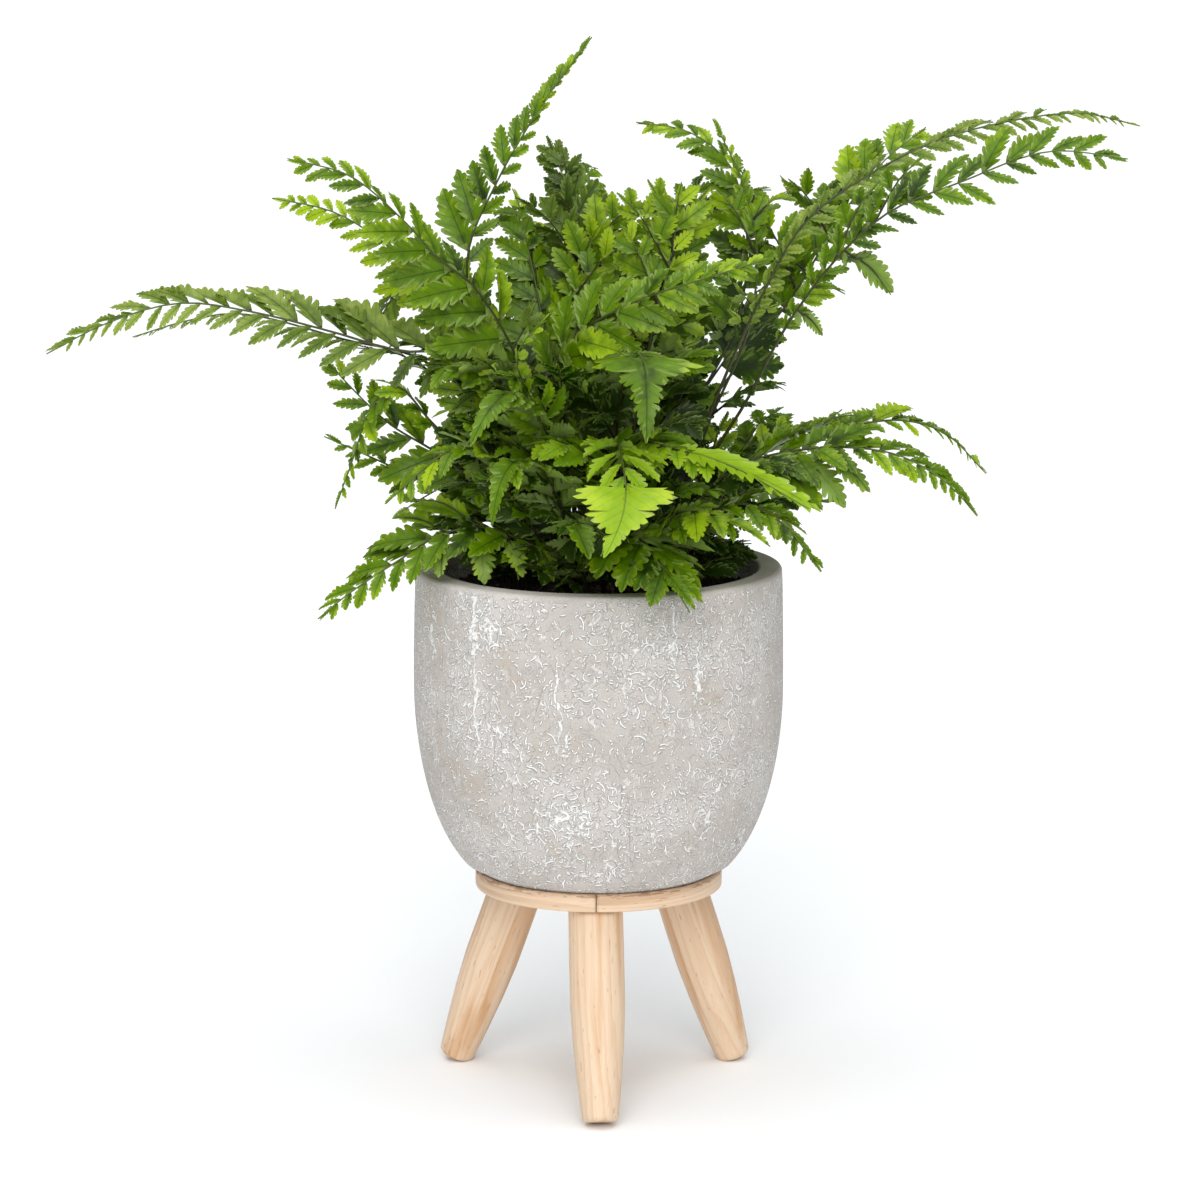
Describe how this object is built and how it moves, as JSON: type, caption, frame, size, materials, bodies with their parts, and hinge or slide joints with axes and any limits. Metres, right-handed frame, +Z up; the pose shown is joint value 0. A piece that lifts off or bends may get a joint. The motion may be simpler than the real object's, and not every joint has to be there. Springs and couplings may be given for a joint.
{
  "type": "potted fern",
  "caption": "Bushy arching fern with toothed leaflets in a rounded cement pot, set on a round pine stand with splayed turned legs.",
  "frame": {"origin": "on the floor, on the common axis of the pot and the stand", "axes": "+Z up, -Y towards the front, where one leg and the butt joint of the stand's band are"},
  "size_m": [0.4862, 0.2891, 0.474],
  "materials": {
    "cement": "matte",
    "soil": "matte",
    "board_wood": "matte",
    "band_wood": "matte",
    "leg_wood": "matte",
    "screw_steel": "satin",
    "leaf": "satin",
    "old_leaf": "satin",
    "young_leaf": "satin"
  },
  "bodies": {
    "root": {"pot": "cement", "soil": "soil", "stand_board": "board_wood", "stand_band": "band_wood", "leg_front": "leg_wood", "leg_screw_front": "screw_steel", "leg_back_left": "leg_wood", "leg_screw_back_left": "screw_steel", "leg_back_right": "leg_wood", "leg_screw_back_right": "screw_steel", "frond_left_long": "old_leaf", "frond_left_under": "old_leaf", "frond_upper_left": "leaf", "frond_upper_left_pale": "leaf", "frond_top": "leaf", "frond_top_dark": "old_leaf", "frond_top_behind": "young_leaf", "frond_pale_edge": "leaf", "frond_curled_tip": "leaf", "frond_small_upright": "leaf", "frond_young_crinkled": "leaf", "frond_right_high": "old_leaf", "frond_right_long": "leaf", "frond_right_behind": "leaf", "frond_right_mid_back": "leaf", "frond_right_mid": "leaf", "frond_right_low": "leaf", "frond_right_under": "leaf", "frond_front_right_bright": "young_leaf", "frond_front_yellow": "young_leaf", "frond_front_high": "leaf", "frond_front_rim": "leaf", "frond_left_rim": "leaf", "frond_left_drooping": "leaf", "frond_left_small": "leaf", "frond_left_mid": "leaf", "frond_left_broad": "leaf", "frond_left_upright": "leaf", "frond_centre_right": "leaf", "frond_front_left_high": "leaf", "frond_front_left": "leaf", "frond_front_small": "leaf", "frond_front_right": "leaf", "frond_centre_bright": "young_leaf", "frond_centre_dark": "old_leaf", "frond_back_high_1": "leaf", "frond_back_high_2": "leaf", "frond_back_high_3": "leaf", "frond_back_mid_1": "leaf", "frond_back_mid_2": "leaf", "frond_back_mid_3": "leaf", "frond_back_mid_4": "leaf", "frond_back_mid_5": "leaf", "frond_back_low_1": "leaf", "frond_back_low_2": "leaf", "frond_back_low_3": "leaf", "frond_back_low_4": "leaf", "frond_back_low_5": "leaf", "frond_back_low_6": "leaf"}
  },
  "joints": []
}
